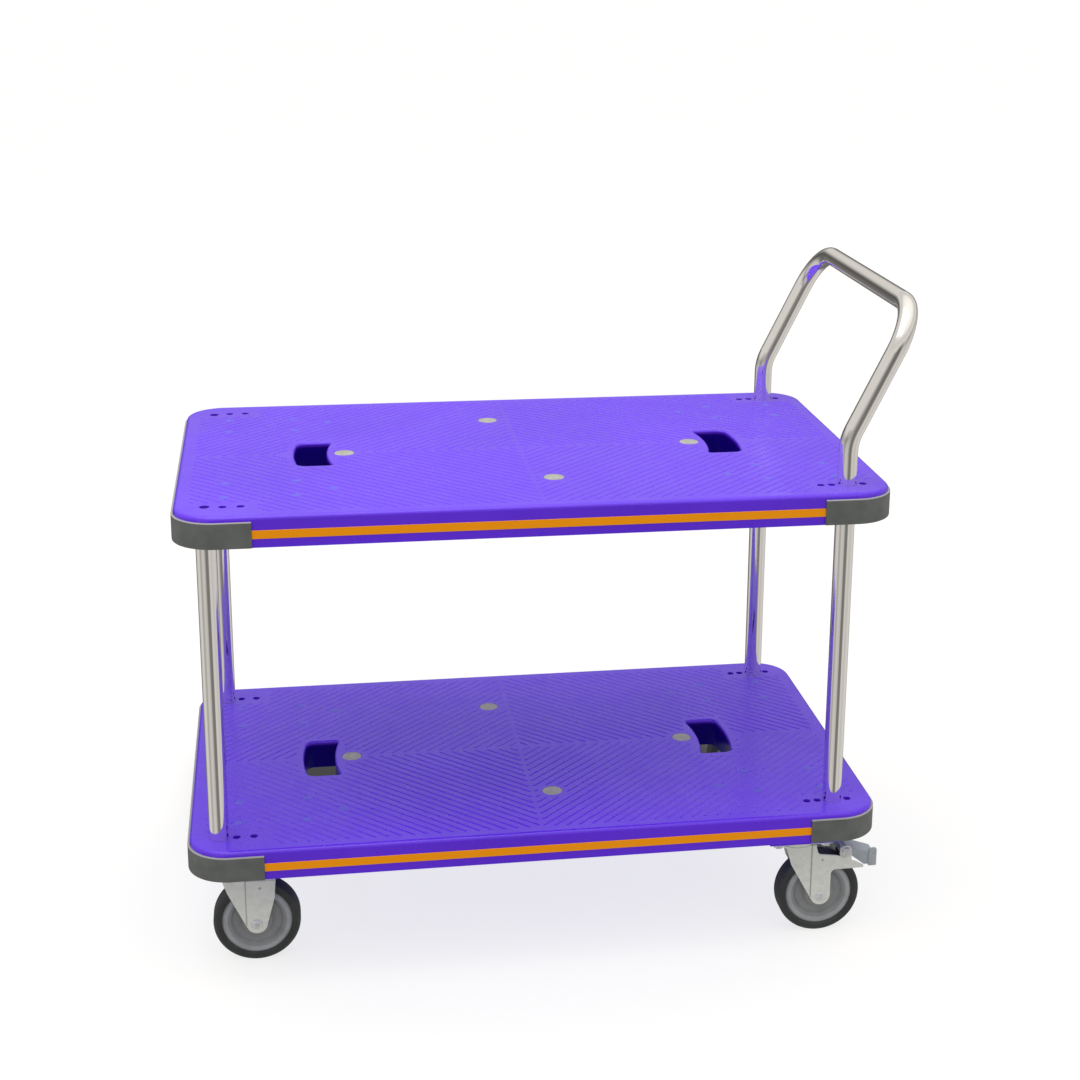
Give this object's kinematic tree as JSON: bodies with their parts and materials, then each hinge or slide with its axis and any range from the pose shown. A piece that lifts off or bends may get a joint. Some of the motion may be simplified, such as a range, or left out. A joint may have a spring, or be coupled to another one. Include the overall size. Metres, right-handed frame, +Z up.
{
  "type": "platform trolley",
  "caption": "Two-deck plastic platform trolley with tube posts, a bent push handle, grey end bumpers, fixed front casters and braked swivel rear casters.",
  "frame": {"origin": "on the floor under the middle of the overall length and width", "axes": "+X towards the push handle and the swivel casters, +Y across to the far side, +Z up"},
  "size_m": [1.041, 0.6, 0.962],
  "materials": {
    "purple_plastic": "moulded, satin gloss, ribbed tread",
    "bumper_plastic": "fine grain",
    "stripe_plastic": "satin",
    "plug_plastic": "fine grain",
    "chromed_tube": "polished chrome plate",
    "zinc_casting": "as cast",
    "black_steel": "black oxide",
    "zinc_steel": "bright zinc plate",
    "zinc_sheet": "zinc plated pressed sheet",
    "pedal_steel": "blue zinc plate",
    "shoe_rubber": "matt",
    "hub_plastic": "moulded, slightly glossy",
    "tyre_rubber": "smooth grey rubber"
  },
  "bodies": {
    "frame": {"upper_deck": "purple_plastic", "upper_front_bumper": "bumper_plastic", "upper_rear_bumper": "bumper_plastic", "upper_side_stripes": "stripe_plastic", "upper_deck_plugs": "plug_plastic", "lower_deck": "purple_plastic", "lower_front_bumper": "bumper_plastic", "lower_rear_bumper": "bumper_plastic", "lower_side_stripes": "stripe_plastic", "lower_deck_plugs": "plug_plastic", "handle_frame": "chromed_tube", "front_near_post": "chromed_tube", "front_far_post": "chromed_tube", "post_inserts": "zinc_casting", "post_screws": "black_steel", "tube_cross_bolts": "zinc_steel", "tube_cross_nuts": "zinc_steel", "leg_flanges": "zinc_steel", "flange_screws": "zinc_steel", "caster_bolts": "zinc_steel", "front_axle_nuts": "zinc_steel", "front_axle_sleeves": "zinc_steel", "front_near_fork": "zinc_sheet", "front_near_axle_bolt": "zinc_steel", "rear_near_top_plate": "zinc_sheet", "rear_near_kingpin": "zinc_steel", "front_far_fork": "zinc_sheet", "front_far_axle_bolt": "zinc_steel", "rear_far_top_plate": "zinc_sheet", "rear_far_kingpin": "zinc_steel"},
    "front_near_wheel": {"front_near_hub": "hub_plastic", "front_near_tyre": "tyre_rubber", "front_near_bearings": "zinc_steel"},
    "rear_near_swivel": {"rear_near_fork": "zinc_sheet", "rear_near_race_balls": "zinc_steel", "rear_near_axle_bolt": "zinc_steel", "rear_near_axle_nut": "zinc_steel", "rear_near_axle_sleeve": "zinc_steel", "rear_near_brake_pivot": "zinc_steel", "rear_near_brake_pivot_nut": "zinc_steel"},
    "rear_near_wheel": {"rear_near_hub": "hub_plastic", "rear_near_tyre": "tyre_rubber", "rear_near_bearings": "zinc_steel"},
    "rear_near_pedal": {"rear_near_brake_pedal": "pedal_steel", "rear_near_brake_shoe": "shoe_rubber"},
    "front_far_wheel": {"front_far_hub": "hub_plastic", "front_far_tyre": "tyre_rubber", "front_far_bearings": "zinc_steel"},
    "rear_far_swivel": {"rear_far_fork": "zinc_sheet", "rear_far_race_balls": "zinc_steel", "rear_far_axle_bolt": "zinc_steel", "rear_far_axle_nut": "zinc_steel", "rear_far_axle_sleeve": "zinc_steel", "rear_far_brake_pivot": "zinc_steel", "rear_far_brake_pivot_nut": "zinc_steel"},
    "rear_far_wheel": {"rear_far_hub": "hub_plastic", "rear_far_tyre": "tyre_rubber", "rear_far_bearings": "zinc_steel"},
    "rear_far_pedal": {"rear_far_brake_pedal": "pedal_steel", "rear_far_brake_shoe": "shoe_rubber"}
  },
  "joints": [
    {"name": "front_near_wheel_spin", "type": "hinge", "parent": "frame", "child": "front_near_wheel", "pos_m": [-0.4285, -0.205, 0.0625], "axis": [0, 1, 0], "continuous": true},
    {"name": "rear_near_swivel_turn", "type": "hinge", "parent": "frame", "child": "rear_near_swivel", "pos_m": [0.3655, -0.239, 0.15], "axis": [0, 0, 1], "continuous": true},
    {"name": "rear_near_wheel_spin", "type": "hinge", "parent": "rear_near_swivel", "child": "rear_near_wheel", "pos_m": [0.4005, -0.239, 0.0625], "axis": [0, 1, 0], "continuous": true},
    {"name": "rear_near_brake_press", "type": "hinge", "parent": "rear_near_swivel", "child": "rear_near_pedal", "pos_m": [0.4385, -0.239, 0.131], "axis": [0, 1, 0], "range_deg": [0, 20]},
    {"name": "front_far_wheel_spin", "type": "hinge", "parent": "frame", "child": "front_far_wheel", "pos_m": [-0.4285, 0.205, 0.0625], "axis": [0, 1, 0], "continuous": true},
    {"name": "rear_far_swivel_turn", "type": "hinge", "parent": "frame", "child": "rear_far_swivel", "pos_m": [0.3655, 0.239, 0.15], "axis": [0, 0, 1], "continuous": true},
    {"name": "rear_far_wheel_spin", "type": "hinge", "parent": "rear_far_swivel", "child": "rear_far_wheel", "pos_m": [0.4005, 0.239, 0.0625], "axis": [0, 1, 0], "continuous": true},
    {"name": "rear_far_brake_press", "type": "hinge", "parent": "rear_far_swivel", "child": "rear_far_pedal", "pos_m": [0.4385, 0.239, 0.131], "axis": [0, 1, 0], "range_deg": [0, 20]}
  ]
}
